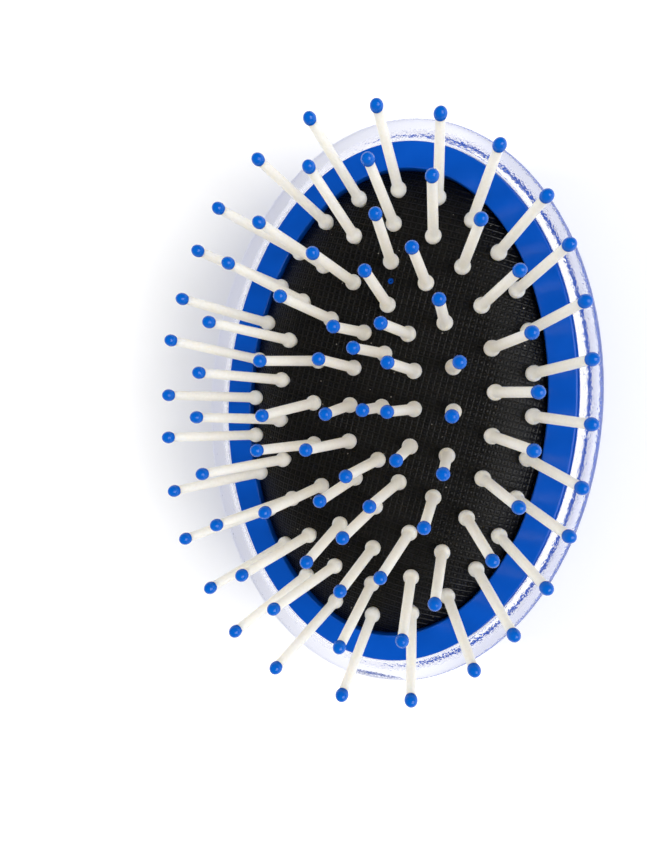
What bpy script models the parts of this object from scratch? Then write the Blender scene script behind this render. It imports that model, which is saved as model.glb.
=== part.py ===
"""Palm pin brush: an oval cushion brush without a handle, held in the palm by its domed clear shell.

The shell lies on its flat foot with the pins up.  Z is up, Y runs along the oval's long axis, and
the origin is the middle of the foot.  All lengths are in metres.
"""

import bmesh
import bpy
from math import cos, pi, sin, sqrt
from mathutils import Matrix, Vector

# Blue frame: the flat oval ring that holds the rubber pad down.
FRAME_OUTER_A = 0.0277
FRAME_OUTER_B = 0.0404
FRAME_WIDTH = 0.0041
FRAME_THICKNESS = 0.0020
FRAME_CHAMFER = 0.0005
FACE_HEIGHT = 0.0190

# Clear shell: a thick moulded bowl with a bull-nosed rim and a flat foot.
RIM_THICKNESS = 0.0033
SHELL_WALL = 0.0014
WIDEST_BELOW_FACE = 0.0027
FOOT_A = 0.0135
FOOT_B = 0.0264
RIM_CROWN = 0.0002
LIP_DEPTH = 0.0022
LIP_SLOPE = 0.0009
BOWL_ROUNDNESS = 2.3
NOTCH_WIDTH = 0.0080
NOTCH_DEPTH = 0.0012
NOTCH_HEIGHT = 0.0016
NOTCH_OFFSET = 0.0012

# Blue tray: the inner bowl that closes the air space behind the pad.
TRAY_WALL = 0.0015
SHELF_WIDTH = 0.0021
SHELF_THICKNESS = 0.0011

# Rubber pad: a thin crowned skin with a flange that the frame clamps on the tray's shelf.
PAD_THICKNESS = 0.0010
PAD_CROWN = 0.00485
PAD_EDGE_BELOW_FACE = 0.0009
PAD_FLATNESS = 6.0
FLANGE_WIDTH = 0.0029
FLANGE_THICKNESS = 0.0012
VENT_RADIUS = 0.00045
VENT_ALONG_SHARE = 0.520

# Pins: nylon, each with a head under the skin, a bulb above it, a tapered shaft and a ball.
PIN_LENGTH = 0.0160
BULB_RADIUS = 0.00120
BULB_RISE = 0.00070
SHAFT_BASE_RADIUS = 0.00078
SHAFT_TIP_RADIUS = 0.00067
SHAFT_FLARE = 0.0014
BALL_RADIUS = 0.00090
BALL_HALF_LENGTH = 0.00102
NECK_RADIUS = 0.00065
HEAD_RADIUS = 0.00120
HEAD_THICKNESS = 0.00070

# Clearances.
FIT_GAP = 0.0003
HEAD_GAP = 0.0005
CUT_OVERRUN = 0.0006

# Rows of pins, from the outer oval to the middle.  A row's oval is a share of the pad's half axes.
ROW_NAMES = ("outer", "second", "third", "fourth")
ROW_COUNTS = (28, 22, 16, 12)
ROW_ACROSS_SHARES = (0.916, 0.694, 0.457, 0.214)
ROW_ALONG_SHARES = (0.889, 0.745, 0.591, 0.415)
PAIRED_ROWS = ("outer", "second")
CENTRE_COUNT = 3
CENTRE_PITCH = 0.0079

# A pin's lean, as shares of its length, across and along the brush, at the ends of its row's axes.
LEAN_ACROSS_SHARES = (0.55, 0.42, 0.15, 0.0)
LEAN_ALONG_SHARES = (0.42, 0.29, 0.165, 0.115)
LEAN_BOW_ACROSS_SHARES = (0.12, 0.0, 0.0, 0.0)
LEAN_BOW_ALONG_SHARES = (0.07, 0.06, 0.0, 0.0)

# Pins that stand a little askew in the soft pad: extra lean outwards and clockwise along the row.
ASKEW_LEAN_SHARES = {
    "outer": {1: (0.0, -0.05), 2: (0.0, -0.05), 4: (0.0, -0.05), 5: (0.0, -0.05),
              6: (0.0, -0.05), 8: (0.0, 0.05), 12: (0.0, -0.05), 13: (0.05, 0.0),
              15: (0.0, 0.05), 17: (-0.05, -0.05), 20: (0.0, 0.05), 22: (0.05, 0.05),
              25: (0.0, -0.05), 27: (0.05, 0.0)},
    "second": {3: (0.05, 0.0), 9: (-0.10, 0.10), 12: (-0.05, 0.10), 16: (0.0, 0.05),
               19: (0.05, 0.05), 21: (0.10, 0.05)},
    "third": {0: (0.05, 0.10), 3: (0.05, 0.05), 7: (0.0, 0.10), 9: (-0.05, -0.10),
              10: (0.05, 0.0), 11: (0.0, 0.05), 12: (-0.05, -0.10), 13: (0.0, -0.10),
              15: (-0.05, 0.0)},
    "fourth": {0: (0.05, 0.05), 1: (-0.05, 0.05), 4: (0.10, -0.05), 8: (0.05, 0.05),
               9: (-0.10, -0.05), 11: (-0.10, -0.05)},
    "centre": {1: (0.10, 0.0), 2: (0.0, -0.05)},
}

# Mesh fineness.
OVAL_SEGMENTS = 40
BOWL_STEPS = 5
PIN_SIDES = 6
PAD_RING_SHARES = (0.45, 0.62, 0.76, 0.86, 0.94)

PAD_A = FRAME_OUTER_A - FRAME_WIDTH - FIT_GAP
PAD_B = FRAME_OUTER_B - FRAME_WIDTH - FIT_GAP
PAD_EDGE_Z = FACE_HEIGHT - PAD_EDGE_BELOW_FACE
FRAME_UNDERSIDE_Z = FACE_HEIGHT - FRAME_THICKNESS
FLANGE_TOP_Z = FRAME_UNDERSIDE_Z - FIT_GAP
FLANGE_BOTTOM_Z = FLANGE_TOP_Z - FLANGE_THICKNESS
SHELF_Z = FLANGE_BOTTOM_Z - FIT_GAP
MOUTH_A = FRAME_OUTER_A + FIT_GAP
MOUTH_B = FRAME_OUTER_B + FIT_GAP
SHELL_A = MOUTH_A + RIM_THICKNESS
SHELL_B = MOUTH_B + RIM_THICKNESS
WIDEST_Z = FACE_HEIGHT - WIDEST_BELOW_FACE
LIP_Z = FACE_HEIGHT - LIP_DEPTH


def clear_scene():
    for item in list(bpy.data.objects):
        bpy.data.objects.remove(item, do_unlink=True)


def new_collection(name):
    group = bpy.data.collections.new(name)
    bpy.context.scene.collection.children.link(group)
    return group


def material(name, colour, roughness, transmission=0.0):
    paint = bpy.data.materials.new(name)
    paint.use_nodes = True
    shader = paint.node_tree.nodes["Principled BSDF"]
    shader.inputs["Base Color"].default_value = (*colour, 1.0)
    shader.inputs["Roughness"].default_value = roughness
    shader.inputs["Metallic"].default_value = 0.0
    shader.inputs["Transmission Weight"].default_value = transmission
    paint.diffuse_color = (*colour, 1.0)
    return paint


def place_mesh(name, bm, group, paint):
    mesh = bpy.data.meshes.new(name)
    bm.to_mesh(mesh)
    bm.free()
    mesh.shade_smooth()
    mesh.set_sharp_from_angle(angle=pi / 5)
    mesh.materials.append(paint)
    item = bpy.data.objects.new(name, mesh)
    group.objects.link(item)
    return item


def make_cutter(item):
    item.hide_render = True
    item.display_type = "WIRE"


def boolean(item, tool, operation):
    cut = item.modifiers.new(operation.lower(), "BOOLEAN")
    cut.operation = operation
    cut.solver = "EXACT"
    cut.object = tool


def oval_loop(bm, half_a, half_b, height):
    turns = [2 * pi * step / OVAL_SEGMENTS for step in range(OVAL_SEGMENTS)]
    return [bm.verts.new((half_a * sin(turn), half_b * cos(turn), height)) for turn in turns]


def loft(sections, closed):
    """Skin oval sections in order: round into a closed ring, or into a bowl capped at both ends."""
    bm = bmesh.new()
    loops = [oval_loop(bm, *section) for section in sections]
    pairs = list(zip(loops, loops[1:]))
    if closed:
        pairs.append((loops[-1], loops[0]))
    else:
        bm.faces.new(reversed(loops[0]))
        bm.faces.new(loops[-1])
    for first, second in pairs:
        for corner in range(OVAL_SEGMENTS):
            bm.faces.new((first[corner - 1], first[corner], second[corner], second[corner - 1]))
    bmesh.ops.recalc_face_normals(bm, faces=bm.faces)
    if bm.calc_volume(signed=True) < 0:
        bmesh.ops.reverse_faces(bm, faces=bm.faces)
    return bm


def bowl_sections(inset, from_height):
    """Oval sections of the bowl at a depth inside the shell's outer skin, from a height down."""
    sections = []
    power = 2 / BOWL_ROUNDNESS
    for step in range(BOWL_STEPS + 1):
        turn = pi / 2 * step / BOWL_STEPS
        out = cos(turn) ** power if step < BOWL_STEPS else 0
        height = WIDEST_Z - (WIDEST_Z - inset) * sin(turn) ** power
        if height < from_height:
            sections.append((FOOT_A + (SHELL_A - inset - FOOT_A) * out,
                             FOOT_B + (SHELL_B - inset - FOOT_B) * out, height))
    return sections


def build_shell(group, tools, paint):
    nose = RIM_THICKNESS / 2
    outer = [(SHELL_A, SHELL_B, WIDEST_Z)] + bowl_sections(0, WIDEST_Z)
    rim = [(MOUTH_A, MOUTH_B, FACE_HEIGHT),
           (MOUTH_A + nose / 2, MOUTH_B + nose / 2, FACE_HEIGHT + RIM_CROWN),
           (MOUTH_A + nose, MOUTH_B + nose, FACE_HEIGHT),
           (SHELL_A - nose / 3, SHELL_B - nose / 3, (FACE_HEIGHT + WIDEST_Z) / 2)]
    undercut = SHELL_WALL
    inner = [(SHELL_A - undercut, SHELL_B - undercut, LIP_Z - LIP_SLOPE)]
    inner += bowl_sections(undercut, LIP_Z - LIP_SLOPE)
    sections = list(reversed(inner)) + [(MOUTH_A, MOUTH_B, LIP_Z)] + rim + outer
    shell = place_mesh("clear_shell", loft(sections, closed=False), group, paint)
    bm = bmesh.new()
    bmesh.ops.create_cube(bm, size=1)
    cutter = place_mesh("notch_cutter", bm, tools, paint)
    cutter.scale = (NOTCH_WIDTH, 2 * NOTCH_DEPTH, 2 * NOTCH_HEIGHT)
    cutter.location = (NOTCH_OFFSET, -SHELL_B, FACE_HEIGHT + RIM_CROWN)
    make_cutter(cutter)
    boolean(shell, cutter, "DIFFERENCE")
    return shell


def build_frame(group, paint):
    inner_a = FRAME_OUTER_A - FRAME_WIDTH
    inner_b = FRAME_OUTER_B - FRAME_WIDTH
    edge = FRAME_CHAMFER
    sections = [(inner_a, inner_b, FRAME_UNDERSIDE_Z),
                (FRAME_OUTER_A, FRAME_OUTER_B, FRAME_UNDERSIDE_Z),
                (FRAME_OUTER_A, FRAME_OUTER_B, FACE_HEIGHT - edge),
                (FRAME_OUTER_A - edge, FRAME_OUTER_B - edge, FACE_HEIGHT),
                (inner_a + edge, inner_b + edge, FACE_HEIGHT),
                (inner_a, inner_b, FACE_HEIGHT - edge)]
    return place_mesh("pad_frame", loft(sections, closed=True), group, paint)


def build_tray(group, paint):
    outer_inset = SHELL_WALL + FIT_GAP
    inner_inset = outer_inset + TRAY_WALL
    rim_a = SHELL_A - outer_inset
    rim_b = SHELL_B - outer_inset
    rim_z = min(FLANGE_TOP_Z, LIP_Z - LIP_SLOPE - FIT_GAP)
    seat_a = PAD_A + FLANGE_WIDTH + FIT_GAP
    seat_b = PAD_B + FLANGE_WIDTH + FIT_GAP
    shelf_a = seat_a - SHELF_WIDTH
    shelf_b = seat_b - SHELF_WIDTH
    haunch_z = SHELF_Z - SHELF_THICKNESS
    haunch_reach = SHELL_A - inner_inset - shelf_a
    inner = [(shelf_a, shelf_b, haunch_z)] + bowl_sections(inner_inset, haunch_z - haunch_reach)
    outer = [(rim_a, rim_b, rim_z)] + bowl_sections(outer_inset, rim_z)
    sections = list(reversed(inner)) + [(shelf_a, shelf_b, SHELF_Z), (seat_a, seat_b, SHELF_Z),
                                        (seat_a, seat_b, rim_z)] + outer
    return place_mesh("air_tray", loft(sections, closed=False), group, paint)


def crown_height(share, crown):
    return PAD_EDGE_Z + crown * (1 - share ** PAD_FLATNESS)


def skin_height(x, y):
    share = sqrt((x / PAD_A) ** 2 + (y / PAD_B) ** 2)
    return crown_height(share, PAD_CROWN)


def build_pad(group, tools, paint, pins):
    inner_a = PAD_A - PAD_THICKNESS
    inner_b = PAD_B - PAD_THICKNESS
    inner_crown = PAD_CROWN - PAD_THICKNESS
    flange_a = PAD_A + FLANGE_WIDTH
    flange_b = PAD_B + FLANGE_WIDTH
    sections = [(inner_a * share, inner_b * share, crown_height(share, inner_crown))
                for share in PAD_RING_SHARES]
    sections += [(inner_a, inner_b, PAD_EDGE_Z), (inner_a, inner_b, FLANGE_BOTTOM_Z),
                 (flange_a, flange_b, FLANGE_BOTTOM_Z), (flange_a, flange_b, FLANGE_TOP_Z),
                 (PAD_A, PAD_B, FLANGE_TOP_Z), (PAD_A, PAD_B, PAD_EDGE_Z)]
    sections += [(PAD_A * share, PAD_B * share, crown_height(share, PAD_CROWN))
                 for share in reversed(PAD_RING_SHARES)]
    pad = place_mesh("rubber_pad", loft(sections, closed=False), group, paint)
    depth = PAD_THICKNESS + 2 * CUT_OVERRUN
    bm = bmesh.new()
    for _, _, frame in pins:
        add_prism(bm, NECK_RADIUS + FIT_GAP, depth, frame)
    vent_y = VENT_ALONG_SHARE * PAD_B
    vent = Matrix.Translation((0, vent_y, skin_height(0, vent_y)))
    add_prism(bm, VENT_RADIUS, depth, vent)
    holes = place_mesh("pin_hole_cutter", bm, tools, paint)
    make_cutter(holes)
    boolean(pad, holes, "DIFFERENCE")
    return pad


def add_prism(bm, radius, depth, frame):
    middle = Matrix.Translation((0, 0, -PAD_THICKNESS / 2))
    bmesh.ops.create_cone(bm, cap_ends=True, segments=PIN_SIDES, radius1=radius, radius2=radius,
                          depth=depth, matrix=frame @ middle)


def row_turns(half_a, half_b, count):
    """Turn angles, clockwise from +Y, that share an oval's length evenly among the pins."""
    steps = 720
    lengths = [0.0]
    for step in range(steps):
        turn = 2 * pi * (step + 0.5) / steps
        run = sqrt((half_a * cos(turn)) ** 2 + (half_b * sin(turn)) ** 2)
        lengths.append(lengths[-1] + run)
    turns = []
    step = 0
    for pin in range(count):
        goal = lengths[-1] * pin / count
        while lengths[step + 1] < goal:
            step += 1
        part = (goal - lengths[step]) / (lengths[step + 1] - lengths[step])
        turns.append(2 * pi * (step + part) / steps)
    return turns


def pin_frame(x, y, lean_x, lean_y):
    """A pin's own axes at the skin: Z along the pin, X level and square to its lean."""
    along = Vector((lean_x, lean_y, sqrt(1 - lean_x ** 2 - lean_y ** 2)))
    side = Vector((0, 1, 0)).cross(along).normalized()
    front = along.cross(side)
    turn = Matrix((side, front, along)).transposed().to_4x4()
    return Matrix.Translation((x, y, skin_height(x, y))) @ turn


def all_pins():
    """Every pin as (row name, number in its row, matrix)."""
    pins = []
    for row, name in enumerate(ROW_NAMES):
        half_a = PAD_A * ROW_ACROSS_SHARES[row]
        half_b = PAD_B * ROW_ALONG_SHARES[row]
        for number, turn in enumerate(row_turns(half_a, half_b, ROW_COUNTS[row])):
            across = sin(turn) + LEAN_BOW_ACROSS_SHARES[row] * sin(3 * turn)
            along = cos(turn) + LEAN_BOW_ALONG_SHARES[row] * cos(3 * turn)
            out, round_row = ASKEW_LEAN_SHARES[name].get(number, (0, 0))
            lean_x = LEAN_ACROSS_SHARES[row] * across + out * sin(turn) + round_row * cos(turn)
            lean_y = LEAN_ALONG_SHARES[row] * along + out * cos(turn) - round_row * sin(turn)
            frame = pin_frame(half_a * sin(turn), half_b * cos(turn), lean_x, lean_y)
            pins.append((name, number, frame))
    for number in range(CENTRE_COUNT):
        lean_x, lean_y = ASKEW_LEAN_SHARES["centre"].get(number, (0, 0))
        y = CENTRE_PITCH * ((CENTRE_COUNT - 1) / 2 - number)
        pins.append(("centre", number, pin_frame(0, y, lean_x, lean_y)))
    return pins


def pin_mesh(name, with_head, paint):
    """A pin's profile, tip first and down its outer side, for a Screw modifier."""
    head_top = -PAD_THICKNESS - HEAD_GAP
    bulb = FIT_GAP + BULB_RISE
    ball = bulb + PIN_LENGTH
    profile = [(0, ball + BALL_HALF_LENGTH),
               (BALL_RADIUS * 0.7, ball + BALL_HALF_LENGTH * 0.7),
               (BALL_RADIUS, ball),
               (SHAFT_TIP_RADIUS, ball - BALL_HALF_LENGTH),
               (SHAFT_BASE_RADIUS, bulb + SHAFT_FLARE),
               (BULB_RADIUS, bulb),
               (NECK_RADIUS, FIT_GAP)]
    if with_head:
        profile += [(NECK_RADIUS, head_top), (HEAD_RADIUS, head_top),
                    (HEAD_RADIUS, head_top - HEAD_THICKNESS), (0, head_top - HEAD_THICKNESS)]
    else:
        root = head_top - HEAD_THICKNESS / 2
        profile += [(NECK_RADIUS, root), (0, root)]
    mesh = bpy.data.meshes.new(name)
    points = [(radius, 0, height) for radius, height in profile]
    mesh.from_pydata(points, [(i, i + 1) for i in range(len(points) - 1)], [])
    mesh.materials.append(paint)
    return mesh


def add_pin(name, mesh, frame, group):
    pin = bpy.data.objects.new(name, mesh)
    group.objects.link(pin)
    pin.matrix_world = frame
    turn = pin.modifiers.new("turned", "SCREW")
    turn.steps = PIN_SIDES
    turn.render_steps = PIN_SIDES
    turn.use_merge_vertices = True
    turn.merge_threshold = CUT_OVERRUN / 60
    turn.use_smooth_shade = True
    return pin


def build_pair(name, frames, mesh, group, tools, paint):
    """Two neighbouring pins on one bar, a slice of the pad's backing ply under the skin."""
    drop = -PAD_THICKNESS - HEAD_GAP - HEAD_THICKNESS / 2
    seats = [frame @ Vector((0, 0, drop)) for frame in frames]
    along = seats[1] - seats[0]
    lean = sum(((frame.to_3x3() @ Vector((0, 0, 1))) for frame in frames), Vector())
    x_axis = along.normalized()
    y_axis = lean.cross(x_axis).normalized()
    turn = Matrix((x_axis, y_axis, x_axis.cross(y_axis))).transposed().to_4x4()
    bm = bmesh.new()
    bmesh.ops.create_cube(bm, size=1)
    size = (along.length + 2 * HEAD_RADIUS, 2 * HEAD_RADIUS, HEAD_THICKNESS)
    bmesh.ops.scale(bm, vec=size, verts=bm.verts)
    corners = [edge for edge in bm.edges if abs(edge.verts[0].co.z - edge.verts[1].co.z) > 0]
    bmesh.ops.bevel(bm, geom=corners, offset=HEAD_RADIUS / 2, segments=1, affect="EDGES")
    bar = place_mesh(name, bm, group, paint)
    bar.matrix_world = Matrix.Translation((seats[0] + seats[1]) / 2) @ turn
    for side, frame in enumerate(frames):
        pin = add_pin(f"{name}_pin_{side + 1}", mesh, frame, tools)
        make_cutter(pin)
        boolean(bar, pin, "UNION")
    return bar


def build_pins(pins, group, tools, paint):
    single = pin_mesh("pin", True, paint)
    rooted = pin_mesh("pin_without_head", False, paint)
    guides = {}
    for name in ROW_NAMES + ("centre",):
        guide = bpy.data.objects.new(f"{name}_row_slide", None)
        guide.location = (0, 0, PAD_EDGE_Z)
        group.objects.link(guide)
        guides[name] = guide
    bpy.context.view_layer.update()
    waiting = None
    for name, number, frame in pins:
        if name not in PAIRED_ROWS:
            node = add_pin(f"{name}_pin_{number + 1:02d}", single, frame, group)
        elif waiting is None:
            waiting = frame
            continue
        else:
            pair_name = f"{name}_pin_pair_{number // 2 + 1:02d}"
            node = build_pair(pair_name, (waiting, frame), rooted, group, tools, paint)
            waiting = None
        node.parent = guides[name]
        node.matrix_parent_inverse = guides[name].matrix_world.inverted()


def build():
    clear_scene()
    group = new_collection("palm_pin_brush")
    tools = new_collection("cutters")
    clear = material("clear_plastic", (0.93, 0.95, 0.97), 0.05, transmission=1.0)
    blue = material("blue_plastic", (0.0, 0.09, 0.46), 0.25)
    rubber = material("black_rubber", (0.012, 0.012, 0.013), 0.7)
    nylon = material("nylon", (0.80, 0.76, 0.68), 0.45)
    pins = all_pins()
    build_shell(group, tools, clear)
    build_frame(group, blue)
    build_tray(group, blue)
    build_pad(group, tools, rubber, pins)
    build_pins(pins, group, tools, nylon)


build()
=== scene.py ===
from math import cos, pi, radians, sin, sqrt

import bpy
from mathutils import Matrix, Vector


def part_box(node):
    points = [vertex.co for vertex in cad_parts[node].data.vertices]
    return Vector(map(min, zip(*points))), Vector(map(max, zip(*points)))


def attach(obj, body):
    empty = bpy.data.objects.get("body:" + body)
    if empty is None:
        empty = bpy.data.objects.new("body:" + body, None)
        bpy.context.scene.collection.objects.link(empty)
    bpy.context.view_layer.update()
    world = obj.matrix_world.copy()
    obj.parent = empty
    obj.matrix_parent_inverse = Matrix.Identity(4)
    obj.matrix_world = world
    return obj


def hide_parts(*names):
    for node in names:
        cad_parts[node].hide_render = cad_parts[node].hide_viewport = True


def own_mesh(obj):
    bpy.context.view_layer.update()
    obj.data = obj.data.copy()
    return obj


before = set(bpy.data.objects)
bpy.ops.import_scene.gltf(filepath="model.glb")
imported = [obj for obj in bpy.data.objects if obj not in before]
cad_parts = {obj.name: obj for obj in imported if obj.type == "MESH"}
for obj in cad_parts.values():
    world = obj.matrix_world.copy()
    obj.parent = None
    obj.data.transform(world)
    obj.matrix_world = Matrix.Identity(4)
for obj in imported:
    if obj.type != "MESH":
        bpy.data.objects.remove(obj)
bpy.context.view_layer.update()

# Clear shell
# The palm part is one thick bowl of clear polystyrene, injection moulded in a polished mould.  Its
# rounded rim stands round the blue frame, and a shallow notch at one end lets a tool lift the frame.
# In the names of ovals, A is half the width, along X, and B is half the length, along Y.
SHELL_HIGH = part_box("clear_shell")[1]
FRAME_LOW, FRAME_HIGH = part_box("pad_frame")
FACE_Z = FRAME_HIGH.z
RIM_THICKNESS = 0.0033
FIT_GAP = 0.0003
SHELL_WALL = 0.0014
WIDEST_BELOW_FACE = 0.0027
FOOT_A = 0.0135
FOOT_B = 0.0264
RIM_CROWN = SHELL_HIGH.z - FACE_Z
LIP_DEPTH = 0.0022
LIP_SLOPE = 0.0009
LIP_CHAMFER = 0.0012
BOWL_ROUNDNESS = 2.3
NOTCH_SIZE = (0.0080, 0.0024, 0.0032)
NOTCH_PLACE_X = 0.0012
OVAL_SIDES = 160
BOWL_STEPS = 24
NOSE_STEPS = 12
NOSE_ROUNDNESS = 3.2
MERGE_DISTANCE = 0.000002
RIPPLES_PER_METRE = 3000.0
RIPPLE_HEIGHT = 0.0001
WALL_BOUNCES = 0.5
BELOW_LIP = 0.0001
SHELL_A, SHELL_B = SHELL_HIGH.x, SHELL_HIGH.y
MOUTH_A, MOUTH_B = SHELL_A - RIM_THICKNESS, SHELL_B - RIM_THICKNESS
WIDEST_Z = FACE_Z - WIDEST_BELOW_FACE
LIP_Z = FACE_Z - LIP_DEPTH


def bowl_ovals(inset, from_height):
    """Ovals (half width, half length, height) down the bowl at a depth inside its outer skin."""
    ovals = []
    power = 2 / BOWL_ROUNDNESS
    for step in range(BOWL_STEPS + 1):
        turn = pi / 2 * step / BOWL_STEPS
        out = cos(turn) ** power if step < BOWL_STEPS else 0
        height = WIDEST_Z - (WIDEST_Z - inset) * sin(turn) ** power
        if height < from_height:
            ovals.append((FOOT_A + (SHELL_A - inset - FOOT_A) * out,
                          FOOT_B + (SHELL_B - inset - FOOT_B) * out, height))
    return ovals


def start_clean():
    """Select nothing, because an operator acts on all that is selected."""
    bpy.ops.object.select_all(action="DESELECT")


def sweep_ovals(name, ovals, ring=False, sides=OVAL_SIDES):
    """Extrude a disc, or the outline of a closed ring, from oval to oval."""
    start_clean()
    fill = "NOTHING" if ring else "NGON"
    bpy.ops.mesh.primitive_circle_add(vertices=sides, radius=1, fill_type=fill)
    piece = bpy.context.object
    piece.name = piece.data.name = name
    bpy.ops.object.mode_set(mode="EDIT")
    half_x, half_y, height = ovals[0]
    bpy.ops.transform.resize(value=(half_x, half_y, 1), center_override=(0, 0, 0))
    bpy.ops.transform.translate(value=(0, 0, height))
    for last, this in zip(ovals, ovals[1:] + ovals[:1] * ring):
        move = {"value": (0, 0, this[2] - last[2])}
        bpy.ops.mesh.extrude_region_move(TRANSFORM_OT_translate=move)
        stretch = (this[0] / last[0], this[1] / last[1], 1)
        bpy.ops.transform.resize(value=stretch, center_override=(0, 0, this[2]))
    bpy.ops.mesh.select_all(action="SELECT")
    bpy.ops.mesh.remove_doubles(threshold=MERGE_DISTANCE)
    bpy.ops.mesh.normals_make_consistent(inside=False)
    bpy.ops.object.mode_set(mode="OBJECT")
    return piece


def cut_away(piece, cutter):
    """Cut one solid out of a piece and throw the cutter away."""
    cut = piece.modifiers.new("cut", "BOOLEAN")
    cut.operation = "DIFFERENCE"
    cut.object = cutter
    bpy.context.view_layer.objects.active = piece
    bpy.ops.object.modifier_apply(modifier=cut.name)
    bpy.data.objects.remove(cutter)


def smooth(piece, angle=35):
    """Shade a piece smooth but for the edges that are sharper than the angle, in degrees."""
    start_clean()
    piece.select_set(True)
    bpy.context.view_layer.objects.active = piece
    bpy.ops.object.shade_smooth_by_angle(angle=radians(angle))


def colour(code):
    """A hex sRGB colour as linear values."""
    parts = [int(code[place:place + 2], 16) / 255 for place in (1, 3, 5)]
    return [part / 12.92 if part <= 0.04045 else ((part + 0.055) / 1.055) ** 2.4
            for part in parts] + [1.0]


def add_node(tree, kind, sockets=(), **settings):
    """Add a node, set it up, and fill or link its inputs."""
    node = tree.nodes.new(kind)
    for name, value in settings.items():
        setattr(node, name, value)
    for socket, value in dict(sockets).items():
        if isinstance(value, bpy.types.NodeSocket):
            tree.links.new(value, node.inputs[socket])
        else:
            node.inputs[socket].default_value = value
    return node


def new_material(name):
    """A new material, its node tree and its main shader."""
    material = bpy.data.materials.new(name)
    material.use_nodes = True
    tree = material.node_tree
    return material, tree, tree.nodes["Principled BSDF"]


lip_foot = LIP_Z - LIP_SLOPE
nose = RIM_THICKNESS / 2
rim = [(MOUTH_A, MOUTH_B, lip_foot + LIP_CHAMFER), (MOUTH_A, MOUTH_B, FACE_Z - FIT_GAP)]
for step in range(NOSE_STEPS + 1):
    turn = pi / 2 * step / NOSE_STEPS
    out = nose - nose * cos(turn)
    rise = (FIT_GAP + RIM_CROWN) * sin(turn)
    rim.append((MOUTH_A + out, MOUTH_B + out, FACE_Z - FIT_GAP + rise))
for step in range(1, NOSE_STEPS):
    turn = pi / 2 * step / NOSE_STEPS
    out = nose + nose * sin(turn) ** (2 / NOSE_ROUNDNESS)
    drop = (RIM_CROWN + WIDEST_BELOW_FACE) * (1 - cos(turn) ** (2 / NOSE_ROUNDNESS))
    rim.append((MOUTH_A + out, MOUTH_B + out, FACE_Z + RIM_CROWN - drop))
inner = [(MOUTH_A + LIP_CHAMFER, MOUTH_B + LIP_CHAMFER, lip_foot)]
inner += [(SHELL_A - SHELL_WALL, SHELL_B - SHELL_WALL, lip_foot)] + bowl_ovals(SHELL_WALL, lip_foot)
outer = [(SHELL_A, SHELL_B, WIDEST_Z)] + bowl_ovals(0, WIDEST_Z)
shell = sweep_ovals("shell", list(reversed(inner)) + rim + outer)
notch_place = (NOTCH_PLACE_X, -SHELL_B, SHELL_HIGH.z)
start_clean()
bpy.ops.mesh.primitive_cube_add(size=1, scale=NOTCH_SIZE, location=notch_place)
cut_away(shell, bpy.context.object)
smooth(shell)
# Crystal polystyrene, moulded in a polished steel mould: clear and glossy with a faint cool tint.  The
# flow of the melt leaves a fine ripple, 0.3 mm from wave to wave, that breaks up what is seen through the
# rim.  A ray that was mirrored before, as inside the wall, or that leaves the wall below the rim, goes
# straight through, so the thick edge stays clear and not dark.  To the lamps it is a pale grey window.
clear, tree, shader = new_material("clear_moulded_polystyrene")
shader.inputs["Base Color"].default_value = colour("#F3F3F8")
shader.inputs["Roughness"].default_value = 0.02
shader.inputs["IOR"].default_value = 1.5
shader.inputs["Transmission Weight"].default_value = 1.0
place = add_node(tree, "ShaderNodeTexCoord")
waves = add_node(tree, "ShaderNodeTexNoise", {"Vector": place.outputs["Object"],
                                              "Scale": RIPPLES_PER_METRE, "Detail": 1.0})
ripple = add_node(tree, "ShaderNodeBump", {"Height": waves.outputs["Fac"], "Strength": 0.85,
                                           "Distance": RIPPLE_HEIGHT})
tree.links.new(ripple.outputs["Normal"], shader.inputs["Normal"])
path = add_node(tree, "ShaderNodeLightPath")
mirrored = add_node(tree, "ShaderNodeMath", {0: path.outputs["Glossy Depth"], 1: WALL_BOUNCES},
                    operation="GREATER_THAN")
straight = add_node(tree, "ShaderNodeBsdfTransparent", {"Color": colour("#FFFFFF")})
side = add_node(tree, "ShaderNodeNewGeometry")
level = add_node(tree, "ShaderNodeSeparateXYZ", {0: place.outputs["Object"]})
below_rim = add_node(tree, "ShaderNodeMath", {0: level.outputs["Z"], 1: lip_foot - BELOW_LIP},
                     operation="LESS_THAN")
leaving = add_node(tree, "ShaderNodeMath", {0: below_rim.outputs[0], 1: side.outputs["Backfacing"]},
                   operation="MULTIPLY")
unbent = add_node(tree, "ShaderNodeMath", {0: mirrored.outputs[0], 1: leaving.outputs[0]},
                  operation="MAXIMUM")
mix = add_node(tree, "ShaderNodeMixShader", {0: unbent.outputs[0], 1: shader.outputs["BSDF"],
                                             2: straight.outputs["BSDF"]})
window = add_node(tree, "ShaderNodeBsdfTransparent", {"Color": colour("#E0E0E1")})
mix = add_node(tree, "ShaderNodeMixShader", {0: path.outputs["Is Shadow Ray"], 1: mix.outputs["Shader"],
                                             2: window.outputs["BSDF"]})
tree.links.new(mix.outputs["Shader"], tree.nodes["Material Output"].inputs["Surface"])
shell.data.materials.append(clear)
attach(shell, "palm_body")
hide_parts("clear_shell")

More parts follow.
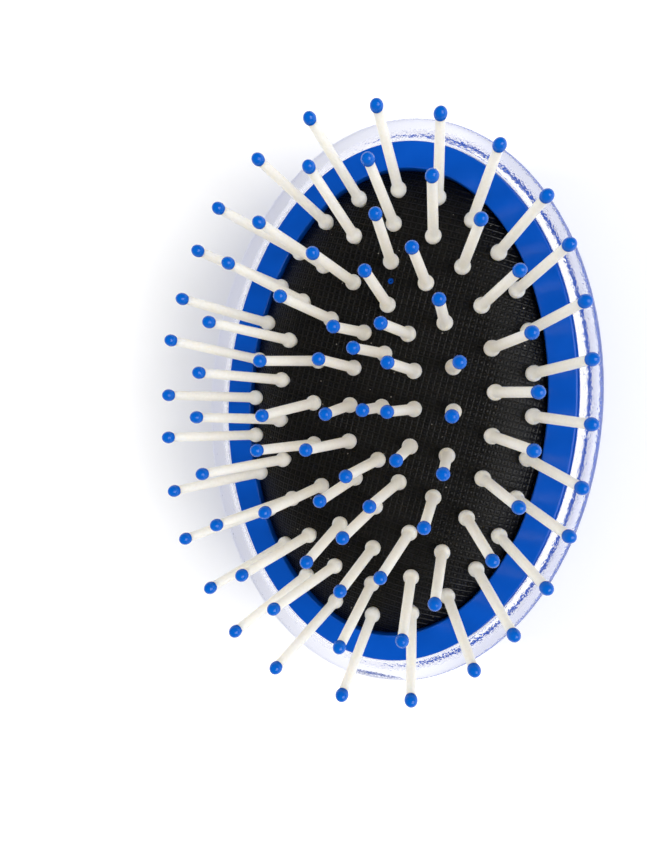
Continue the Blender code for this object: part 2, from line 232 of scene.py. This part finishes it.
# Air tray
# A blue bowl of moulded ABS inside the shell closes the air space behind the rubber pad.  The pad's
# flange lies on the shelf round its mouth, and its outside shows through the clear shell.
TRAY_WALL = 0.0015
SHELF_THICKNESS = 0.0011
TRAY_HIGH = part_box("air_tray")[1]
PAD_LOW, PAD_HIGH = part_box("rubber_pad")
SEAT_A, SEAT_B = PAD_HIGH.x + FIT_GAP, PAD_HIGH.y + FIT_GAP
SHELF_WIDTH = 0.0021
SHELF_Z = PAD_LOW.z - FIT_GAP
CLOUDS_PER_METRE = 220.0
SINK_DEPTH = 0.0001
shelf_a, shelf_b = SEAT_A - SHELF_WIDTH, SEAT_B - SHELF_WIDTH
outer_inset = SHELL_WALL + FIT_GAP
inner_inset = outer_inset + TRAY_WALL
haunch = SHELF_Z - SHELF_THICKNESS
inner = [(shelf_a, shelf_b, haunch)]
inner += bowl_ovals(inner_inset, haunch - (SHELL_A - inner_inset - shelf_a))
outer = [(TRAY_HIGH.x, TRAY_HIGH.y, TRAY_HIGH.z)] + bowl_ovals(outer_inset, TRAY_HIGH.z)
shelf = [(shelf_a, shelf_b, SHELF_Z), (SEAT_A, SEAT_B, SHELF_Z), (SEAT_A, SEAT_B, TRAY_HIGH.z)]
tray = sweep_ovals("tray", list(reversed(inner)) + shelf + outer)
smooth(tray)
# ABS coloured through and moulded in a polished mould: an even mid blue with a soft gloss, slightly
# cloudy every 4 to 5 mm where the colour was mixed into the melt, and a trace of sink that bends the
# highlights.
blue_abs, tree, shader = new_material("blue_moulded_abs")
place = add_node(tree, "ShaderNodeTexCoord")
flow = add_node(tree, "ShaderNodeTexNoise", {"Vector": place.outputs["Object"],
                                             "Scale": CLOUDS_PER_METRE, "Detail": 3.0})
tint = add_node(tree, "ShaderNodeMix", {"Factor": flow.outputs["Fac"], 6: colour("#024BB2"),
                                        7: colour("#0455C2")}, data_type="RGBA")
tree.links.new(tint.outputs[2], shader.inputs["Base Color"])
gloss = add_node(tree, "ShaderNodeMapRange", {"Value": flow.outputs["Fac"], "To Min": 0.12, "To Max": 0.22})
tree.links.new(gloss.outputs["Result"], shader.inputs["Roughness"])
sink = add_node(tree, "ShaderNodeBump", {"Height": flow.outputs["Fac"], "Strength": 0.05,
                                         "Distance": SINK_DEPTH})
tree.links.new(sink.outputs["Normal"], shader.inputs["Normal"])
shader.inputs["IOR"].default_value = 1.53
shader.inputs["Specular IOR Level"].default_value = 0.25
tray.data.materials.append(blue_abs)
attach(tray, "palm_body")
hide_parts("air_tray")

# Pad frame
# The flat oval ring is blue ABS too, polished on its face.  It clips into the shell's mouth and holds
# the pad's flange down on the tray's shelf.
FRAME_WIDTH = 0.0041
FRAME_EDGE = 0.00025
FLAT_BESIDE_EDGE = 0.0001
outer_a, outer_b = FRAME_HIGH.x, FRAME_HIGH.y
inner_a, inner_b = FRAME_HIGH.x - FRAME_WIDTH, FRAME_HIGH.y - FRAME_WIDTH
# The ring's rounded edge, inward and down from its corner, in shares of FRAME_EDGE.
edge_steps = ((0, 1), (0.08, 0.6), (0.3, 0.3), (0.6, 0.08), (1, 0), (1 + FLAT_BESIDE_EDGE / FRAME_EDGE, 0))
outer_edge = [(outer_a - FRAME_EDGE * inward, outer_b - FRAME_EDGE * inward, FACE_Z - FRAME_EDGE * down)
              for inward, down in edge_steps]
inner_edge = [(inner_a + FRAME_EDGE * inward, inner_b + FRAME_EDGE * inward, FACE_Z - FRAME_EDGE * down)
              for inward, down in reversed(edge_steps)]
ring_ovals = [(inner_a, inner_b, FRAME_LOW.z), (outer_a, outer_b, FRAME_LOW.z)] + outer_edge + inner_edge
ring = sweep_ovals("frame", ring_ovals, ring=True)
smooth(ring)
ring.data.materials.append(blue_abs)
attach(ring, "palm_body")
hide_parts("pad_frame")

# Rubber pad
# A crowned skin of black rubber with a fine woven emboss.  Air under it makes the cushion, and it lets
# out through one small vent.  Its flange, clamped under the frame, is a piece of its own because only
# the skin gives.
PAD_THICKNESS = 0.0010
PAD_FLATNESS = 6.0
PAD_EDGE_BELOW_FACE = 0.0009
FLANGE_WIDTH = 0.0029
FLANGE_THICKNESS = 0.0012
VENT_RADIUS = 0.00045
VENT_ALONG_SHARE = 0.520
VENT_SIDES = 20
SKIN_STEPS = 26
MIDDLE_SHARE = 0.04
PAD_A, PAD_B = PAD_HIGH.x - FLANGE_WIDTH, PAD_HIGH.y - FLANGE_WIDTH
PAD_EDGE_Z = FACE_Z - PAD_EDGE_BELOW_FACE
PAD_CROWN = 0.00485
EMBOSS_PITCH_X = 0.00088
EMBOSS_PITCH_Y = 0.00093
EMBOSS_TURN_DEGREES = 12.0
EMBOSS_DEPTH = 0.00010
# The nub and the ridges of the emboss: from a pit's middle in shares of the pitch, and up in shares of
# the depth.
NUB_RADIUS, NUB_HEIGHT = 0.3, 0.7
LENGTHWISE_START, LENGTHWISE_HEIGHT = 0.34, 0.75
CROSSWISE_START, CROSSWISE_HEIGHT = 0.31, 1.0
LINT_PER_METRE = 420.0
LINT_RADIUS_SHARE = 0.045


def skin_height(x, y):
    """The height of the pad's outer face at a place on it."""
    share = sqrt((x / PAD_A) ** 2 + (y / PAD_B) ** 2)
    return PAD_EDGE_Z + PAD_CROWN * (1 - share ** PAD_FLATNESS)


def dome_ovals(half_a, half_b, crown):
    """Ovals from near the middle out to the edge of a crowned skin."""
    shares = [MIDDLE_SHARE] + [sin(pi / 2 * step / SKIN_STEPS) for step in range(2, SKIN_STEPS + 1)]
    return [(half_a * share, half_b * share, PAD_EDGE_Z + crown * (1 - share ** PAD_FLATNESS))
            for share in shares]


under = dome_ovals(PAD_A - PAD_THICKNESS, PAD_B - PAD_THICKNESS, PAD_CROWN - PAD_THICKNESS)
over = dome_ovals(PAD_A, PAD_B, PAD_CROWN)
skin = sweep_ovals("cushion_skin", under + list(reversed(over)))
start_clean()
vent_y = VENT_ALONG_SHARE * PAD_B
bpy.ops.mesh.primitive_cylinder_add(vertices=VENT_SIDES, radius=VENT_RADIUS, depth=4 * PAD_THICKNESS,
                                    location=(0, vent_y, skin_height(0, vent_y)))
cut_away(skin, bpy.context.object)
smooth(skin)
# Black rubber pressed in an engraved mould.  Crossed ridges 0.9 mm apart, and a nub in each pit, catch
# the light as fine glossy dashes, while the pits stay matt black, deepened by painted shade: the colour is
# darker in the pits than on the ridges and nubs.  The emboss is drawn at its real size.
# A few specks of pale lint cling to it, drawn up to 0.2 mm wide so that they show.
rubber, tree, shader = new_material("black_embossed_rubber")
place = add_node(tree, "ShaderNodeTexCoord")
lattice = add_node(tree, "ShaderNodeMapping", {"Vector": place.outputs["Object"],
                                               "Rotation": (0, 0, radians(EMBOSS_TURN_DEGREES)),
                                               "Scale": (1 / EMBOSS_PITCH_X, 1 / EMBOSS_PITCH_Y, 1)})
pit = add_node(tree, "ShaderNodeTexVoronoi", {"Vector": lattice.outputs["Vector"], "Scale": 1.0,
                                              "Randomness": 0.0}, voronoi_dimensions="2D")
from_middle = add_node(tree, "ShaderNodeVectorMath", {0: lattice.outputs["Vector"],
                                                      1: pit.outputs["Position"]}, operation="SUBTRACT")
from_middle = add_node(tree, "ShaderNodeVectorMath", {0: from_middle.outputs["Vector"]},
                       operation="ABSOLUTE")
apart = add_node(tree, "ShaderNodeSeparateXYZ", {0: from_middle.outputs["Vector"]})
height = add_node(tree, "ShaderNodeMapRange", {"Value": pit.outputs["Distance"], "From Min": 0.0,
                                               "From Max": NUB_RADIUS, "To Min": NUB_HEIGHT,
                                               "To Max": 0.0}, interpolation_type="SMOOTHSTEP")
ridges = (("X", LENGTHWISE_START, LENGTHWISE_HEIGHT), ("Y", CROSSWISE_START, CROSSWISE_HEIGHT))
for axis, start, top in ridges:
    ridge = add_node(tree, "ShaderNodeMapRange", {"Value": apart.outputs[axis], "From Min": start,
                                                  "From Max": 0.5, "To Max": top},
                     interpolation_type="SMOOTHSTEP")
    height = add_node(tree, "ShaderNodeMath", {0: height.outputs[0], 1: ridge.outputs[0]},
                      operation="MAXIMUM")
emboss = add_node(tree, "ShaderNodeBump", {"Height": height.outputs[0], "Strength": 1.0,
                                           "Distance": EMBOSS_DEPTH})
tree.links.new(emboss.outputs["Normal"], shader.inputs["Normal"])
# Painted shade and light: the black is darkest in the pits and a little lighter on the ridge tops and nubs.
painted_shade_black = add_node(tree, "ShaderNodeMix", {"Factor": height.outputs[0], 6: colour("#010101"),
                                         7: colour("#0A0909")}, data_type="RGBA")
lint = add_node(tree, "ShaderNodeTexVoronoi", {"Vector": place.outputs["Object"], "Scale": LINT_PER_METRE})
specks = add_node(tree, "ShaderNodeMath", {0: lint.outputs["Distance"], 1: LINT_RADIUS_SHARE},
                  operation="LESS_THAN")
# Real pale lint specks laid over the black with its painted shade.
lint_and_painted_shade = add_node(tree, "ShaderNodeMix", {"Factor": specks.outputs[0], 6: painted_shade_black.outputs[2],
                                         7: colour("#8C8880")}, data_type="RGBA")
tree.links.new(lint_and_painted_shade.outputs[2], shader.inputs["Base Color"])
dull = add_node(tree, "ShaderNodeMapRange", {"Value": height.outputs[0], "To Min": 0.42, "To Max": 0.30})
tree.links.new(dull.outputs["Result"], shader.inputs["Roughness"])
shader.inputs["Specular IOR Level"].default_value = 0.27
skin.data.materials.append(rubber)
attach(skin, "palm_body")
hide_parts("rubber_pad")
flange_a, flange_b = PAD_A + FLANGE_WIDTH, PAD_B + FLANGE_WIDTH
flange_top = PAD_LOW.z + FLANGE_THICKNESS
bore_a, bore_b = PAD_A - PAD_THICKNESS, PAD_B - PAD_THICKNESS
flange_ovals = [(bore_a, bore_b, PAD_EDGE_Z), (bore_a, bore_b, PAD_LOW.z),
                (flange_a, flange_b, PAD_LOW.z), (flange_a, flange_b, flange_top),
                (PAD_A, PAD_B, flange_top), (PAD_A, PAD_B, PAD_EDGE_Z)]
flange = sweep_ovals("cushion_flange", flange_ovals, ring=True)
smooth(flange)
flange.data.materials.append(rubber)
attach(flange, "palm_body")

# Vent sleeve
# A short sleeve of the frame's blue plastic is pushed into the vent hole to keep it open, and shows as a
# dark blue dot.
SLEEVE_BORE = 0.00014
SLEEVE_DEPTH = 0.00015
sleeve_top = skin_height(0, vent_y) - SLEEVE_DEPTH
sleeve_foot = skin_height(0, vent_y) - PAD_THICKNESS
sleeve_ovals = [(SLEEVE_BORE, SLEEVE_BORE, sleeve_top), (SLEEVE_BORE, SLEEVE_BORE, sleeve_foot),
                (VENT_RADIUS, VENT_RADIUS, sleeve_foot), (VENT_RADIUS, VENT_RADIUS, sleeve_top)]
sleeve = sweep_ovals("vent_sleeve", sleeve_ovals, ring=True, sides=VENT_SIDES)
sleeve.data.transform(Matrix.Translation((0, vent_y, 0)))
smooth(sleeve)
sleeve.data.materials.append(blue_abs)
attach(sleeve, "palm_body")

# Pins
# Each pin is moulded nylon: a bulb that rests on the rubber, a shaft that thins towards the tip, and a
# head that holds it under the skin.  They stand in four oval rows and a short middle row, and lean out.
PIN_LENGTH = 0.0160
BULB_RADIUS = 0.0012
BULB_RISE = 0.0010
SHAFT_TIP_RADIUS = 0.00067
NECK_RADIUS = 0.00065
HEAD_RADIUS = 0.0012
HEAD_TOP = -0.0015
HEAD_THICKNESS = 0.0007
HEAD_BEVEL = 0.0001
PIN_SIDES = 20
PIN_SMOOTH_ANGLE = 50
MOTTLES_PER_METRE = 2400.0
PIT_DEPTH = 0.00005
# Each row's number of pins, its half width and half length in shares of the pad's, its lean across and
# along, and by how much those leans depart from an even sweep round the row.
ROWS = {
    "outer": (28, 0.916, 0.889, 0.55, 0.42, 0.12, 0.07),
    "second": (22, 0.694, 0.745, 0.42, 0.29, 0.0, 0.06),
    "third": (16, 0.457, 0.591, 0.15, 0.165, 0.0, 0.0),
    "fourth": (12, 0.214, 0.415, 0.0, 0.115, 0.0, 0.0),
}
# Pins that stand a little askew, by their number in the row: more lean outward, and more round the row.
ASKEW = {
    "outer": {1: (0.0, -0.05), 2: (0.0, -0.05), 4: (0.0, -0.05), 5: (0.0, -0.05),
              6: (0.0, -0.05), 8: (0.0, 0.05), 12: (0.0, -0.05), 13: (0.05, 0.0),
              15: (0.0, 0.05), 17: (-0.05, -0.05), 20: (0.0, 0.05), 22: (0.05, 0.05),
              25: (0.0, -0.05), 27: (0.05, 0.0)},
    "second": {3: (0.05, 0.0), 9: (-0.10, 0.10), 12: (-0.05, 0.10), 16: (0.0, 0.05),
               19: (0.05, 0.05), 21: (0.10, 0.05)},
    "third": {0: (0.05, 0.10), 3: (0.05, 0.05), 7: (0.0, 0.10), 9: (-0.05, -0.10),
              10: (0.05, 0.0), 11: (0.0, 0.05), 12: (-0.05, -0.10), 13: (0.0, -0.10),
              15: (-0.05, 0.0)},
    "fourth": {0: (0.05, 0.05), 1: (-0.05, 0.05), 4: (0.10, -0.05), 8: (0.05, 0.05),
               9: (-0.10, -0.05), 11: (-0.10, -0.05)},
    "centre": {1: (0.10, 0.0), 2: (0.0, -0.05)},
}
CENTRE_COUNT = 3
CENTRE_PITCH = 0.0079


def even_turns(half_a, half_b, count):
    """Turn angles, clockwise from +Y, that share an oval's length evenly."""
    steps = 720
    lengths = [0.0]
    for step in range(steps):
        turn = 2 * pi * (step + 0.5) / steps
        lengths.append(lengths[-1] + sqrt((half_a * cos(turn)) ** 2 + (half_b * sin(turn)) ** 2))
    turns = []
    step = 0
    for pin in range(count):
        goal = lengths[-1] * pin / count
        while lengths[step + 1] < goal:
            step += 1
        part = (goal - lengths[step]) / (lengths[step + 1] - lengths[step])
        turns.append(2 * pi * (step + part) / steps)
    return turns


def pin_stand(x, y, lean_x, lean_y):
    """The matrix that stands a pin on the pad's skin with a lean."""
    along = Vector((lean_x, lean_y, sqrt(1 - lean_x ** 2 - lean_y ** 2)))
    side = Vector((0, 1, 0)).cross(along).normalized()
    turn = Matrix((side, along.cross(side), along)).transposed().to_4x4()
    return Matrix.Translation((x, y, skin_height(x, y))) @ turn


stands = []
for row, (count, across_share, along_share, lean_a, lean_b, bow_a, bow_b) in ROWS.items():
    half_a, half_b = PAD_A * across_share, PAD_B * along_share
    for number, turn in enumerate(even_turns(half_a, half_b, count)):
        out, round_row = ASKEW[row].get(number, (0, 0))
        lean_x = lean_a * (sin(turn) + bow_a * sin(3 * turn)) + out * sin(turn) + round_row * cos(turn)
        lean_y = lean_b * (cos(turn) + bow_b * cos(3 * turn)) + out * cos(turn) - round_row * sin(turn)
        stands.append((row, number, pin_stand(half_a * sin(turn), half_b * cos(turn), lean_x, lean_y)))
for number in range(CENTRE_COUNT):
    y = CENTRE_PITCH * ((CENTRE_COUNT - 1) / 2 - number)
    stands.append(("centre", number, pin_stand(0, y, *ASKEW["centre"].get(number, (0, 0)))))

# The bulb's outline, radius and height from its middle, in shares of BULB_RADIUS.
bulb_shape = [(0.62, -0.78), (0.80, -0.60), (0.93, -0.37), (1.0, 0.0), (0.97, 0.25), (0.885, 0.465),
              (0.78, 0.64), (0.705, 0.80), (0.668, 1.0), (0.65, 1.25)]
pin_ovals = [(HEAD_RADIUS - HEAD_BEVEL, HEAD_RADIUS - HEAD_BEVEL, HEAD_TOP - HEAD_THICKNESS),
             (HEAD_RADIUS, HEAD_RADIUS, HEAD_TOP - HEAD_THICKNESS + HEAD_BEVEL),
             (HEAD_RADIUS, HEAD_RADIUS, HEAD_TOP), (NECK_RADIUS, NECK_RADIUS, HEAD_TOP)]
pin_ovals += [(BULB_RADIUS * wide, BULB_RADIUS * wide, BULB_RISE + BULB_RADIUS * high)
              for wide, high in bulb_shape]
pin_ovals += [(SHAFT_TIP_RADIUS, SHAFT_TIP_RADIUS, BULB_RISE + PIN_LENGTH)]
model_pin = sweep_ovals("model_pin", pin_ovals, sides=PIN_SIDES)
smooth(model_pin, PIN_SMOOTH_ANGLE)
# Natural nylon moulded in a plain steel mould: off-white and slightly translucent, so light goes round
# the thin shafts, with a satin skin and a faint mottle about 0.4 mm across.
nylon, tree, shader = new_material("off_white_moulded_nylon")
place = add_node(tree, "ShaderNodeTexCoord")
mottle = add_node(tree, "ShaderNodeTexNoise", {"Vector": place.outputs["Object"],
                                               "Scale": MOTTLES_PER_METRE, "Detail": 2.0})
mottle = add_node(tree, "ShaderNodeMapRange", {"Value": mottle.outputs["Fac"], "From Min": 0.35,
                                               "From Max": 0.75})
tint = add_node(tree, "ShaderNodeMix", {"Factor": mottle.outputs[0], 6: colour("#FCF2E6"),
                                        7: colour("#F7ECDE")}, data_type="RGBA")
tree.links.new(tint.outputs[2], shader.inputs["Base Color"])
pits = add_node(tree, "ShaderNodeBump", {"Height": mottle.outputs[0], "Strength": 0.15,
                                         "Distance": PIT_DEPTH})
tree.links.new(pits.outputs["Normal"], shader.inputs["Normal"])
shader.inputs["Roughness"].default_value = 0.4
shader.inputs["Subsurface Weight"].default_value = 1.0
shader.inputs["Subsurface Radius"].default_value = (1.0, 0.9, 0.7)
shader.inputs["Subsurface Scale"].default_value = 0.003
model_pin.data.materials.append(nylon)

# Ball tips
# Each tip is a drop of blue epoxy.  The pin's end was dipped in it, and it cured glossy and a little
# longer than it is wide.
BALL_RADIUS = 0.0009
BALL_HALF_LENGTH = 0.00102
BALL_SIDES = 24
BALL_RINGS = 12
ball_z = BULB_RISE + PIN_LENGTH
ball_ovals = []
for step in range(1, BALL_RINGS):
    turn = pi * step / BALL_RINGS
    height = ball_z - BALL_HALF_LENGTH * cos(turn)
    ball_ovals.append((BALL_RADIUS * sin(turn), BALL_RADIUS * sin(turn), height))
model_tip = sweep_ovals("model_tip", ball_ovals, sides=BALL_SIDES)
smooth(model_tip, PIN_SMOOTH_ANGLE)
# Epoxy resin coloured blue through: surface tension leaves the cured drop smooth, with a small sharp
# highlight.
dipped, tree, shader = new_material("blue_dipped_epoxy")
shader.inputs["Base Color"].default_value = colour("#0060C8")
shader.inputs["Roughness"].default_value = 0.15
shader.inputs["Specular IOR Level"].default_value = 0.3
model_tip.data.materials.append(dipped)


def stand_copy(model, name, matrix, body, node):
    """Copy a pin or a tip, with its own mesh, to its place on the pad."""
    piece = bpy.data.objects.new(name, model.data.copy())
    bpy.context.scene.collection.objects.link(piece)
    piece.data.transform(matrix)
    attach(piece, body)
    if node:
        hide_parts(node)


for row, number, matrix in stands:
    paired = row in ("outer", "second")
    node = f"{row}_pin_pair_{number // 2 + 1:02d}" if paired else f"{row}_pin_{number + 1:02d}"
    stand_copy(model_pin, f"{row}_nylon_pin_{number + 1:02d}", matrix, f"{row}_pins", node)
    stand_copy(model_tip, f"{row}_ball_tip_{number + 1:02d}", matrix, f"{row}_pins", None)
bpy.data.objects.remove(model_pin)
bpy.data.objects.remove(model_tip)

# The skin and the vent's sleeve get meshes of their own.  The real skin gives as the pins are pressed, by
# 3.0 of the 4.85 mm of its crown, and the sleeve goes down with it.
for piece in (skin, sleeve):
    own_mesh(piece)

# Floor, light and camera
# The brush lies on white paper between pale walls under a dark ceiling, with a broad soft box on the
# right and a weaker one on the left.
FLOOR_SIZE = 1.6
SEEN_THROUGH = 0.1
SEEN_DIRECT = 0.2
# The oval at the brush's left where the paper's painted glow is left out, so that the shadow there stays
# deep: its shape, its middle, and where its soft edge starts and ends.
SHADE_SHAPE = (1.0, 0.45, 1.0)
SHADE_MIDDLE = (-0.035, 0.0, 0.0)
SHADE_REACH = (0.012, 0.032)
start_clean()
bpy.ops.mesh.primitive_plane_add(size=FLOOR_SIZE, location=(0, 0, 0))
floor = bpy.context.object
floor.name = "table_top"
# Matt white paper.  For the camera it has a painted glow that grows away from an oval at the brush's left,
# where its shadow falls and the glow is left out.  It also glows a little for rays that come through or off
# the brush, so that it is as white as in a studio while the shadow stays.
white, tree, shader = new_material("white_table_top")
shader.inputs["Base Color"].default_value = colour("#FAFAFA")
shader.inputs["Roughness"].default_value = 0.9
shader.inputs["Specular IOR Level"].default_value = 0.0
path = add_node(tree, "ShaderNodeLightPath")
through = add_node(tree, "ShaderNodeMath", {0: path.outputs["Is Glossy Ray"],
                                            1: path.outputs["Is Transmission Ray"]}, operation="MAXIMUM")
through = add_node(tree, "ShaderNodeMath", {0: through.outputs[0], 1: SEEN_THROUGH}, operation="MULTIPLY")
place = add_node(tree, "ShaderNodeTexCoord")
painted_glow = add_node(tree, "ShaderNodeVectorMath", {0: place.outputs["Object"], 1: SHADE_SHAPE},
                operation="MULTIPLY")
painted_glow = add_node(tree, "ShaderNodeVectorMath", {0: painted_glow.outputs["Vector"], 1: SHADE_MIDDLE},
                operation="DISTANCE")
# Painted glow: none within the oval round the shadow, rising to SEEN_DIRECT beyond its soft edge.
painted_glow = add_node(tree, "ShaderNodeMapRange", {"Value": painted_glow.outputs["Value"], "From Min": SHADE_REACH[0],
                                             "From Max": SHADE_REACH[1], "To Max": SEEN_DIRECT})
seen = add_node(tree, "ShaderNodeMath", {0: path.outputs["Is Camera Ray"], 1: painted_glow.outputs[0],
                                         2: through.outputs[0]}, operation="MULTIPLY_ADD")
shader.inputs["Emission Color"].default_value = colour("#FFFFFF")
tree.links.new(seen.outputs[0], shader.inputs["Emission Strength"])
floor.data.materials.append(white)

# The room is plain white to the camera and through the clear shell.  The glossy surfaces mirror dim walls
# that darken towards the ceiling and the back, and all else is lit by an even fill.
FILL_LEVEL = 0.42
WALL_LEVEL = 0.14
CEILING_LEVEL = 0.02
DARK_ABOVE = 0.85
BACK_SHARE = 0.35
world = bpy.data.worlds.new("studio")
bpy.context.scene.world = world
world.use_nodes = True
tree = world.node_tree
sky = tree.nodes["Background"]
sky.inputs["Color"].default_value = colour("#FFFFFF")
path = add_node(tree, "ShaderNodeLightPath")
way = add_node(tree, "ShaderNodeTexCoord")
way = add_node(tree, "ShaderNodeSeparateXYZ", {0: way.outputs["Generated"]})
rise = add_node(tree, "ShaderNodeMapRange", {"Value": way.outputs["Z"], "From Max": DARK_ABOVE,
                                             "To Min": WALL_LEVEL, "To Max": CEILING_LEVEL})
back = add_node(tree, "ShaderNodeMapRange", {"Value": way.outputs["Y"], "From Min": -1.0,
                                             "To Min": 2 - BACK_SHARE, "To Max": BACK_SHARE})
mirrored = add_node(tree, "ShaderNodeMath", {0: rise.outputs[0], 1: back.outputs[0]}, operation="MULTIPLY")
inside = add_node(tree, "ShaderNodeMath", {0: path.outputs["Is Glossy Ray"],
                                           1: path.outputs["Transmission Depth"],
                                           2: path.outputs["Is Transmission Ray"]},
                  operation="MULTIPLY_ADD")
shown = add_node(tree, "ShaderNodeMath", {0: path.outputs["Is Camera Ray"], 1: inside.outputs[0]},
                 operation="ADD", use_clamp=True)
walls = add_node(tree, "ShaderNodeMix", {0: path.outputs["Is Glossy Ray"], 2: FILL_LEVEL,
                                         3: mirrored.outputs[0]})
shown = add_node(tree, "ShaderNodeMix", {0: shown.outputs[0], 2: walls.outputs[0], 3: 1.0})
tree.links.new(shown.outputs[0], sky.inputs["Strength"])


def soft_box(name, place, size, power, mirrored=True):
    """A lamp that faces the brush and doesn't show through the clear shell."""
    bpy.ops.object.light_add(type="AREA", location=place)
    lamp = bpy.context.object
    lamp.name = name
    lamp.data.shape = "RECTANGLE"
    lamp.data.size, lamp.data.size_y = size
    lamp.data.energy = power
    lamp.rotation_euler = Vector(place).to_track_quat("Z", "Y").to_euler()
    lamp.visible_glossy = mirrored
    lamp.visible_transmission = False


soft_box("right_box", place=(0.914, -0.096, 0.771), size=(0.9, 0.9), power=11.8)
soft_box("left_box", place=(-0.983, 0.0, 0.688), size=(0.4, 0.4), power=6.6, mirrored=False)

# The camera stands where the pins' feet and tips on the photograph place it.  Its turns are in degrees.
CAMERA_PLACE = (0.02821, 0.00401, 0.13259)
CAMERA_TURN = (-3.012, 18.998, 3.360)
CAMERA_FOCUS_PX = 750
PHOTO_WIDTH_PX = 648
SENSOR_MM = 36.0
CLIP_START = 0.005
bpy.ops.object.camera_add(location=CAMERA_PLACE, rotation=[radians(turn) for turn in CAMERA_TURN])
camera = bpy.context.object
camera.data.sensor_fit = "HORIZONTAL"
camera.data.sensor_width = SENSOR_MM
camera.data.lens = SENSOR_MM * CAMERA_FOCUS_PX / PHOTO_WIDTH_PX
camera.data.clip_start = CLIP_START
bpy.context.scene.camera = camera
bpy.context.scene.view_settings.view_transform = "Standard"
